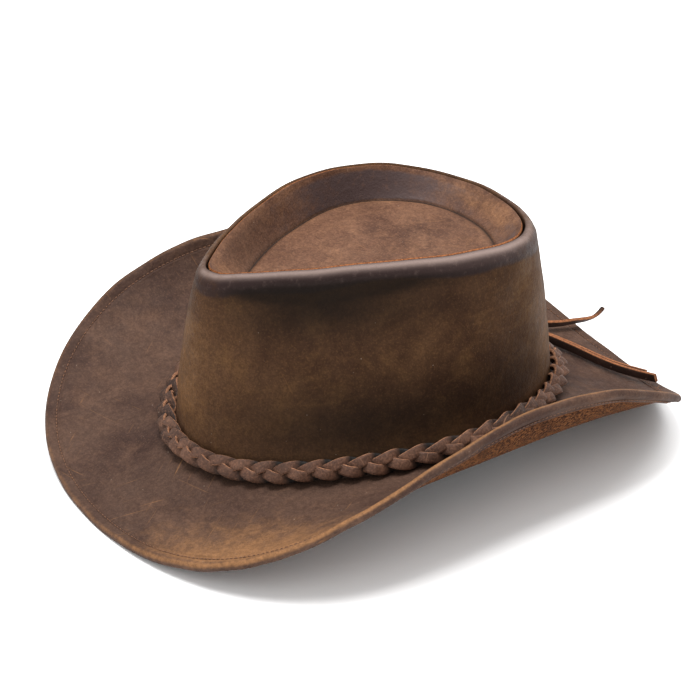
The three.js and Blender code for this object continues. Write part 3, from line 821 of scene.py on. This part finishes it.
# -- Stitches: each one a short, slightly sunken length of thread --


def stitches(name, middles, runs, normals, length, radius):
    """Separate stitches in one mesh, each lying along its run and bowed up off the leather."""
    rings, sides = 7, 6
    along = np.linspace(-1, 1, rings)
    turns = around(sides)
    tube = grid_faces(rings, sides, False, True)
    thick = radius * np.sqrt(np.clip(1.06 - along**2, 0, 1))
    across = np.cross(normals, runs)
    points, faces = [], []
    for middle, run, normal, side in zip(middles, runs, normals, across):
        first = len(points)
        for k in range(rings):
            centre = middle + run * (along[k] * length / 2) + normal * radius * (0.55 - 0.9 * along[k] ** 4)
            for t in turns:
                points.append(centre + thick[k] * (math.cos(t) * side + math.sin(t) * normal))
        faces += [tuple(first + j for j in face) for face in tube]
        faces.append(tuple(first + j for j in range(sides))[::-1])
        faces.append(tuple(first + (rings - 1) * sides + j for j in range(sides)))
    return add_mesh(name, points, faces, THREAD)


def spaced(place, start, end, pitch):
    """Angles from start to end whose places lie about a pitch apart."""
    fine = np.linspace(start, end, 4001)
    steps = np.linalg.norm(np.diff(place(fine), axis=0), axis=1)
    run = np.concatenate([[0], np.cumsum(steps)])
    count = max(int(round(run[-1] / pitch)), 1)
    return np.interp((np.arange(count) + 0.5) * run[-1] / count, run, fine)


def stitch_row(name, place, lifted, start=0.0, end=TURN, pitch=2.5 * MM, length=2.0 * MM):
    """A row of stitches where place(angle) runs, on the side that lifted(angle) lies towards."""
    angle = spaced(place, start, end, pitch)
    middles = place(angle)
    runs = unit(place(angle + 0.001) - place(angle - 0.001))
    normals = lifted(angle) - middles
    normals = unit(normals - runs * (normals * runs).sum(-1, keepdims=True))
    return stitches(name, middles, runs, normals, length, 0.32 * MM)


def hem_line(lift):
    return lambda angle: brim_at(angle, brim_width(angle) - STITCH_INSET, lift)


def tip_seam_line(depth):
    return lambda angle: top_at(angle, SEAM_INSET - LEATHER - 0.2 * MM + depth, -4 * MM)


row = stitch_row("hem_stitches", hem_line(-0.3 * MM), hem_line(1 * MM))
dress(row, "hat", "thread", "brim_hem_thread")
row = stitch_row("hem_stitches_under", hem_line(FLAP_LOW + 0.4 * MM), hem_line(FLAP_LOW - 1 * MM))
dress(row, "hat", "thread")
row = stitch_row("tip_stitches", tip_seam_line(0.0), tip_seam_line(-1 * MM), pitch=3 * MM, length=2.4 * MM)
dress(row, "hat", "thread", "crown_tip_thread")


def upright_rows(name, offset, low, high, depth, outside):
    """Two rows of stitches up the back joint, on the outside or the inside."""
    rises = np.arange(low, high, 2.6 * MM)
    for number, side in enumerate((-1, 1)):
        angle = np.full(rises.shape, BACK + side * offset / TOP_HALF_LENGTH)
        middles = np.array([wall_at(a, r, depth) for a, r in zip(angle, rises)])
        above = np.array([wall_at(a, r + 1 * MM, depth) for a, r in zip(angle, rises)])
        normals = outward_at(angle) * (1 if outside else -1)
        made = stitches(f"{name}_{number + 1}", middles, unit(above - middles), normals, 2.1 * MM, 0.3 * MM)
        dress(made, "hat", "thread")


upright_rows("back_joint_stitches", 3.2 * MM, 4 * MM, 92 * MM, 0.05 * MM, True)

# -- Sweatband: a soft strip inside the crown, its lower edge slack at one place on the wearer's left --


def sweatband():
    angle = around(ROUND_COLUMNS, BACK + JOINT_GAP, BACK + TURN - JOINT_GAP, False)
    slack = 10.5 * MM * turned_to(angle, 104, 0.20)
    outer, inner = [], []
    for rise in np.linspace(-6 * MM, 34 * MM, 34):
        hang = np.clip((20 * MM - rise) / (26 * MM), 0, 1)
        low = rise - slack * hang
        sway = 0.5 * MM * ripple(wall_at(angle, rise, 0.0), 0.028, 31) + 0.6 * MM
        outer.append(wall_at(angle, low, SWEATBAND_DEPTH + sway * hang))
        inner.append(wall_at(angle, low, SWEATBAND_DEPTH + SWEATBAND_THICKNESS + sway * hang))
    return shell("sweatband", np.array(outer), np.array(inner), LINING_LEATHER, {"flesh": (1, 0)}, False)


def sweatband_line(depth):
    return lambda angle: wall_at(angle, -2.0 * MM, SWEATBAND_DEPTH + SWEATBAND_THICKNESS + 0.6 * MM + depth)


TAB_DEPTH = SWEATBAND_DEPTH + SWEATBAND_THICKNESS + 0.9 * MM
TAB_THICKNESS = 1.0 * MM
dress(sweatband(), "hat", "lining_leather", "sweatband")
tab = strip("sweatband_tab", 3 * MM, 26 * MM, 0.07, TAB_DEPTH, TAB_THICKNESS)
dress(tab, "hat", "lining_leather", "sweatband_join_tab")
row = stitch_row(
    "sweatband_stitches", sweatband_line(0.0), sweatband_line(1 * MM), BACK + 0.01, BACK + TURN - 0.01, 3 * MM
)
dress(row, "hat", "thread", "sweatband_thread")
upright_rows("tab_stitches", 4 * MM, 5 * MM, 25 * MM, TAB_DEPTH + TAB_THICKNESS, False)

# -- Hat band: three laces plaited round the crown, knotted at the back right. They are wider than
# -- the CAD's laces, which keep clear of each other.

UP = np.array([0, 0, 1.0])
LACE_HALF_WIDTH = 2.65 * MM
LACE_HALF_THICKNESS = 0.95 * MM
BRAID_HEIGHT = 7 * MM  # of the plait's middle, above the crown's base
BRAID_DIP = 1.2 * MM  # how much lower it lies at the front and the back
BRAID_DEPTH = 4.8 * MM  # of its middle, out from the crown
BRAID_SWING = 2.6 * MM  # of each lace up and down the plait
BRAID_WEAVE = 2.3 * MM  # of each lace in and out
BRAID_LEAN = math.radians(22)  # of the band's flat, in towards the crown
BRAID_END_LEAN = math.radians(26)  # the further lean round the front and the back
BRAID_ROUNDING = math.radians(5)  # how much more the laces lean along its top
BRAID_STEPS = 40  # in each repeat
KNOT_LEAN = math.radians(24)
KNOT_HALF_ANGLE = 0.075
KNOT_HALF_HEIGHT = 6.8 * MM
KNOT_HALF_DEPTH = 3.6 * MM
KNOT_TURNS = ((-4.2 * MM, 1.1 * MM, 1.0), (0.6 * MM, -1.0 * MM, 1.09), (4.6 * MM, 0.9 * MM, 0.98))


def strap_outline(half_width, half_thickness, dome):
    """The section of a lace, as (across, out) pairs, and how much of each point is cut edge and suede."""
    face = np.linspace(-0.93, 0.93, 7)
    upper = [(half_width * x, half_thickness * (1 + dome * (1 - x * x))) for x in face]
    lower = [(half_width * x, -half_thickness) for x in face[::-1]]
    right = [(half_width, half_thickness * y) for y in (0.72, 0.0, -0.72)]
    left = [(-half_width, half_thickness * y) for y in (-0.72, 0.0, 0.72)]
    cut = np.array(([0.0] * 7 + [0.9, 1.0, 0.9]) * 2)
    suede = np.array([0.0] * 10 + [1.0] * 7 + [0.0] * 3)
    return np.array(upper + right + lower + left), cut, suede


def lace_rings(path, across, face, outline):
    """The outline set out round each point of the path."""
    return path[:, None] + outline[:, :1] * across[:, None] + outline[:, 1:] * face[:, None]


def strap(name, path, across, section, material, shade):
    """A flat lace along a path; across is its width direction at each point, longer where it is wider."""
    outline, cut, suede = section
    along = unit(np.gradient(path, axis=0))
    size = np.linalg.norm(across, axis=-1, keepdims=True)
    across = unit(across - along * (across * along).sum(-1, keepdims=True))
    rings = lace_rings(path, across * size, np.cross(along, across), outline)
    count, sides = rings.shape[:2]
    first, last = count * sides, count * sides + sides
    points = np.vstack([rings.reshape(-1, 3), rings[0], rings[-1], path[:1], path[-1:]])
    faces = grid_faces(count, sides, False, True)
    for j in range(sides):
        m = (j + 1) % sides
        faces.append((first + m, first + j, last + sides))
        faces.append((last + j, last + m, last + sides + 1))
    end_shade = np.concatenate([np.repeat(shade[[0, -1]], sides), shade[[0, -1]]])
    masks = {
        "raw": np.concatenate([np.tile(cut, count), np.ones(2 * sides + 2)]),
        "flesh": np.concatenate([np.tile(suede, count), np.zeros(2 * sides + 2)]),
        "dark": np.concatenate([np.repeat(shade, sides), end_shade]),
    }
    return add_mesh(name, points, facing_out(points, faces), material, masks)


def braid_end(angle):
    """1 where the plait turns round the front and the back of the crown, 0 along its sides."""
    return np.cos(angle + TURN / 12) ** 2


def braid_lean(angle):
    return BRAID_LEAN + BRAID_END_LEAN * braid_end(angle)


def braid_centre(angle, phase):
    """The middle of a lace: a figure of eight across the plait, once in each repeat."""
    swing = BRAID_SWING * np.sin(phase)
    weave = BRAID_WEAVE * np.sin(2 * phase)
    lean = braid_lean(angle)
    up = swing * np.cos(lean) + weave * np.sin(lean) - BRAID_DIP * np.cos(angle) ** 2
    out = weave * np.cos(lean) - swing * np.sin(lean)
    return wall_at(angle, BRAID_HEIGHT + up, 0.0) + outward_at(angle) * (BRAID_DEPTH + out)[:, None]


def braid_strand(number):
    knot_end = KNOT_ANGLE + KNOT_HALF_ANGLE
    angle = around(BRAID_REPEATS * BRAID_STEPS + 1, knot_end, knot_end + TURN - 2 * KNOT_HALF_ANGLE, False)
    phase = BRAID_REPEATS * angle + TURN * number / 3
    # The plait is pulled up by hand, so its pitch and height vary a little.
    phase = phase + 0.10 * np.sin(5 * angle + 1.3) + 0.07 * np.sin(11 * angle)
    path = braid_centre(angle, phase)
    path[:, 2] += 0.5 * MM * np.sin(7 * angle + number)
    along = unit(np.gradient(path, axis=0))
    level = unit(np.cross(outward_at(angle), along))
    tilt = (braid_lean(angle) + BRAID_ROUNDING * np.sin(phase))[:, None]
    across = level * np.cos(tilt) - np.cross(along, level) * np.sin(tilt)
    section = strap_outline(LACE_HALF_WIDTH, LACE_HALF_THICKNESS, 0.32)
    # Painted shade where the lace passes under the others, less round the front and the back of the plait.
    shade = (1.15 - 0.9 * braid_end(angle)) * np.clip(0.2 - np.sin(2 * phase), 0, 1)
    return strap(f"braid_lace_{number + 1}", path, across, section, LACE_LEATHER, shade)


def knot_wrap(number, offset, lean, tightness):
    """One turn of lace round the end of the plait, offset along it."""
    turn = around(96)
    knot = np.array([KNOT_ANGLE])
    out = outward_at(knot)[0]
    side = np.cross(out, UP)
    centre = wall_at(knot, BRAID_HEIGHT, 0.0)[0] + out * BRAID_DEPTH
    high = (UP * math.cos(KNOT_LEAN) - out * math.sin(KNOT_LEAN)) * KNOT_HALF_HEIGHT * tightness
    deep = (out * math.cos(KNOT_LEAN) + UP * math.sin(KNOT_LEAN)) * KNOT_HALF_DEPTH * tightness
    path = centre + np.outer(np.cos(turn), high) + np.outer(np.sin(turn), deep)
    path += np.outer(offset + lean * np.cos(turn), side)
    tangent = unit(np.roll(path, -1, 0) - np.roll(path, 1, 0))
    across = unit(side - tangent * (tangent @ side)[:, None])
    face = np.cross(tangent, across)
    face *= np.sign((face * (path - centre)).sum())
    outline, cut, suede = strap_outline(2.7 * MM, 0.9 * MM, 0.3)
    rings = lace_rings(path, across, face, outline)
    points = rings.reshape(-1, 3)
    faces = facing_out(points - centre, grid_faces(*rings.shape[:2], True, True))
    masks = {"raw": np.tile(cut, len(path)), "flesh": np.tile(suede, len(path))}
    return add_mesh(f"knot_wrap_{number}", points, faces, LACE_LEATHER, masks)


for strand in range(3):
    dress(braid_strand(strand), "hat_band", "lace_leather", f"braid_strand_{strand + 1}")
wraps = [knot_wrap(number + 1, *turn) for number, turn in enumerate(KNOT_TURNS)]
dress(wraps[0], "hat_band", "lace_leather", "braid_knot")
for wrap in wraps[1:]:
    dress(wrap, "hat_band", "lace_leather")

# -- Loose ends of the laces, lying on edge on the back of the brim --


def smooth_path(corners, step):
    """A smooth line through the points, which are in millimetres, cut into steps of about that length."""
    corners = np.array(corners) * MM
    padded = np.vstack([2 * corners[0] - corners[1], corners, 2 * corners[-1] - corners[-2]])
    line = []
    for k in range(len(corners) - 1):
        a, b, c, d = padded[k : k + 4]
        for t in np.linspace(0, 1, 24, endpoint=False):
            square, cube = 2 * a - 5 * b + 4 * c - d, 3 * b - a - 3 * c + d
            line.append(0.5 * (2 * b + (c - a) * t + square * t**2 + cube * t**3))
    line = np.array(line + [corners[-1]])
    run = np.concatenate([[0], np.cumsum(np.linalg.norm(np.diff(line, axis=0), axis=1))])
    places = np.linspace(0, run[-1], int(run[-1] / step) + 1)
    return np.stack([np.interp(places, run, line[:, k]) for k in range(3)], -1)


def tail(name, route, start_turn, end_turn, node, tip_shade, taper=0.0):
    """A loose lace as a free cord: on edge, turning from start_turn to end_turn degrees off upright."""
    path = smooth_path(route, 0.8 * MM)
    share = np.linspace(0, 1, len(path))
    along = unit(np.gradient(path, axis=0))
    level = unit(np.cross(along, UP))
    turn = np.radians(start_turn + (end_turn - start_turn) * share**2.2)[:, None]
    across = np.cross(level, along) * np.cos(turn) + level * np.sin(turn)
    across *= 1 - taper * np.clip(share * 3 - 2, 0, 1)[:, None]
    section = strap_outline(2.35 * MM, 0.95 * MM, 0.12)
    shade = tip_shade * np.clip((share - 0.86) * 8, 0, 1)
    lace = strap(name, path, across, section, DARK_AND_SHADED_TAIL_LEATHER, shade)
    dress(lace, "hat_band", "lace_leather", node)


# Places on each lace's middle line, in millimetres from the crown's origin.
RIGHT_ROUTE = [
    (-38.6, 101.2, 7.6), (-38.5, 105.5, 6.4), (-38.1, 110, 4), (-37.3, 115.5, 1), (-36.4, 121.5, -1.4),
    (-35.6, 127.5, -2.9), (-35, 133.5, -4.2), (-34.7, 139.5, -5.4), (-34.6, 145.5, -6.4),
    (-34.8, 151.5, -7.1), (-35.2, 157, -8), (-35.9, 162, -8.9), (-36.9, 167, -9.3), (-38, 171.4, -8.4),
    (-39, 175, -6.6),
]
LONG_ROUTE = [
    (-33.4, 103.4, 6.9), (-32.6, 107, 5), (-30.6, 111.6, 2.4), (-27.2, 117, -0.2), (-22, 122.4, -2.4),
    (-15.5, 127.4, -4.1), (-8, 131.8, -5.5), (0, 135.4, -6.6), (8, 138.5, -7.4), (16, 141.8, -8),
    (24, 145.3, -8.1), (32, 148.4, -7.5), (39, 150.8, -6.5), (45, 152.5, -5.4),
]
SHORT_ROUTE = [
    (-35.9, 102.6, 6.8), (-35.1, 107.6, 4.9), (-32.9, 113, 2.1), (-29.2, 118.6, -0.6),
    (-23.6, 124.3, -3), (-16.8, 129.4, -4.7), (-9, 134, -6.1), (-0.9, 137.7, -7.2), (7.1, 140.8, -8),
    (15.1, 144.1, -8.6), (23.1, 147.6, -8.5), (30.5, 150.5, -7.9), (36, 152.3, -7.2),
]
tail("right_tail", RIGHT_ROUTE, 28, 58, "right_tail_lace", 0.8, 0.45)
tail("long_tail", LONG_ROUTE, 0, 12, "long_tail_lace", 0.2)
tail("short_tail", SHORT_ROUTE, 0, -8, "short_tail_lace", 0.3)

# -- The wire in the hem keeps its CAD shape --

for wire_node in ("brim_wire", "brim_wire_sleeve"):
    wire_mesh = frame["nodes"][wire_node]
    wire_mesh.data.materials.clear()
    wire_mesh.data.materials.append(STEEL)

# ---- Floor and light ----

STAGE_HALF = 4.0
BACKDROP_STRENGTH = 0.95


def stage():
    look = Look("floor")
    shade = look.span(look.noise(0.4, 3), 0.2, 0.8)
    colour = look.mix(shade, (0.93, 0.93, 0.93), (0.96, 0.96, 0.96))
    mesh = bpy.data.meshes.new("floor")
    corners = [(x * STAGE_HALF, y * STAGE_HALF, 0) for x, y in ((-1, -1), (1, -1), (1, 1), (-1, 1))]
    mesh.from_pydata(corners, [], [(0, 1, 2, 3)])
    mesh.materials.append(look.finish(colour, 0.9, Specular_IOR_Level=0.0))
    plane = bpy.data.objects.new("floor", mesh)
    bpy.context.scene.collection.objects.link(plane)


def soft_box(name, right, forward, up, size, watts):
    """A square studio light, placed along the camera's level directions and aimed at the hat."""
    data = bpy.data.lights.new(name, "AREA")
    data.size = size
    data.energy = watts
    level_right = np.array([math.cos(VIEW_AZIMUTH), math.sin(VIEW_AZIMUTH)])
    level_forward = np.array([-math.sin(VIEW_AZIMUTH), math.cos(VIEW_AZIMUTH)])
    light = bpy.data.objects.new(name, data)
    light.location = (*(right * level_right + forward * level_forward), up)
    bpy.context.scene.collection.objects.link(light)
    aim(light, (0, 0, 0.05))


def studio():
    world = bpy.data.worlds.new("studio")
    bpy.context.scene.world = world
    world.use_nodes = True
    backdrop = world.node_tree.nodes["Background"]
    backdrop.inputs["Color"].default_value = (1, 1, 1, 1)
    backdrop.inputs["Strength"].default_value = BACKDROP_STRENGTH
    soft_box("key", -0.38, -0.3, 2.5, 1.0, 58)
    soft_box("back", 0.9, 0.8, 1.9, 1.2, 24)
    soft_box("fill", -0.9, -1.8, 1.6, 1.4, 8)


stage()
studio()
bpy.context.scene.view_settings.view_transform = "Standard"
